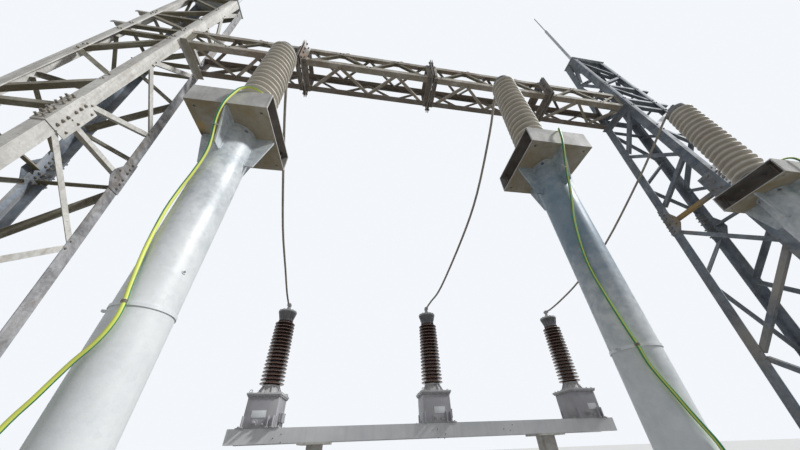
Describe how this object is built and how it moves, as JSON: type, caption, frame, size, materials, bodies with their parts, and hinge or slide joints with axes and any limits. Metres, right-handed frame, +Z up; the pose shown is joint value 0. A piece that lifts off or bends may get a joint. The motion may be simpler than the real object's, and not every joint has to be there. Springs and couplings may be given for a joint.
{
  "type": "substation switchgear bay",
  "caption": "Outdoor high-voltage switchgear bay: lattice portal gantry over a row of post insulators on tubular poles, wired to a row of instrument transformers on channels.",
  "frame": {"origin": "on the ground, halfway between the two columns and halfway between the pole row and the transformer row", "axes": "+Z up, +X along the gantry beam, -Y towards the pole row"},
  "size_m": [10.34, 3.171, 13.212],
  "materials": {
    "gantry_zinc": "dull weathered galvanising with rusty stains",
    "pole_zinc": "bright spangled galvanising",
    "head_zinc": "grey weathered galvanising with brown stains",
    "grey_porcelain": "glossy grey-beige glaze, dusty",
    "earth_sheath": "yellow sheath with green stripes",
    "channel_zinc": "grey paint, dusty",
    "tank_paint": "grey paint, satin, dusty",
    "brown_porcelain": "glossy brown glaze",
    "cup_paint": "grey paint, satin",
    "conductor_metal": "stranded, dull"
  },
  "bodies": {
    "root": {"column_left_front": "gantry_zinc", "column_left_rear": "gantry_zinc", "column_left_inner_bracing": "gantry_zinc", "column_left_outer_bracing": "gantry_zinc", "lightning_rod_left": "gantry_zinc", "column_right_front": "gantry_zinc", "column_right_rear": "gantry_zinc", "column_right_inner_bracing": "gantry_zinc", "column_right_outer_bracing": "gantry_zinc", "lightning_rod_right": "gantry_zinc", "beam_front": "gantry_zinc", "beam_rear": "gantry_zinc", "beam_top_bracing": "gantry_zinc", "beam_bottom_bracing": "gantry_zinc", "beam_joint_left": "gantry_zinc", "beam_joint_middle": "gantry_zinc", "beam_joint_right": "gantry_zinc", "pole_left": "pole_zinc", "pole_middle": "pole_zinc", "pole_right": "pole_zinc", "pole_head_left": "head_zinc", "pole_head_middle": "head_zinc", "pole_head_right": "head_zinc", "post_insulator_left": "grey_porcelain", "post_insulator_middle": "grey_porcelain", "post_insulator_right": "grey_porcelain", "earth_cable_left": "earth_sheath", "earth_cable_middle": "earth_sheath", "earth_cable_right": "earth_sheath", "transformer_channel_front": "channel_zinc", "transformer_channel_rear": "channel_zinc", "transformer_support_left": "channel_zinc", "transformer_support_right": "channel_zinc", "transformer_tank_left": "tank_paint", "transformer_tank_middle": "tank_paint", "transformer_tank_right": "tank_paint", "transformer_porcelain_left": "brown_porcelain", "transformer_porcelain_middle": "brown_porcelain", "transformer_porcelain_right": "brown_porcelain", "transformer_head_left": "cup_paint", "transformer_head_middle": "cup_paint", "transformer_head_right": "cup_paint", "conductor_left": "conductor_metal", "conductor_middle": "conductor_metal", "conductor_right": "conductor_metal"}
  },
  "joints": []
}
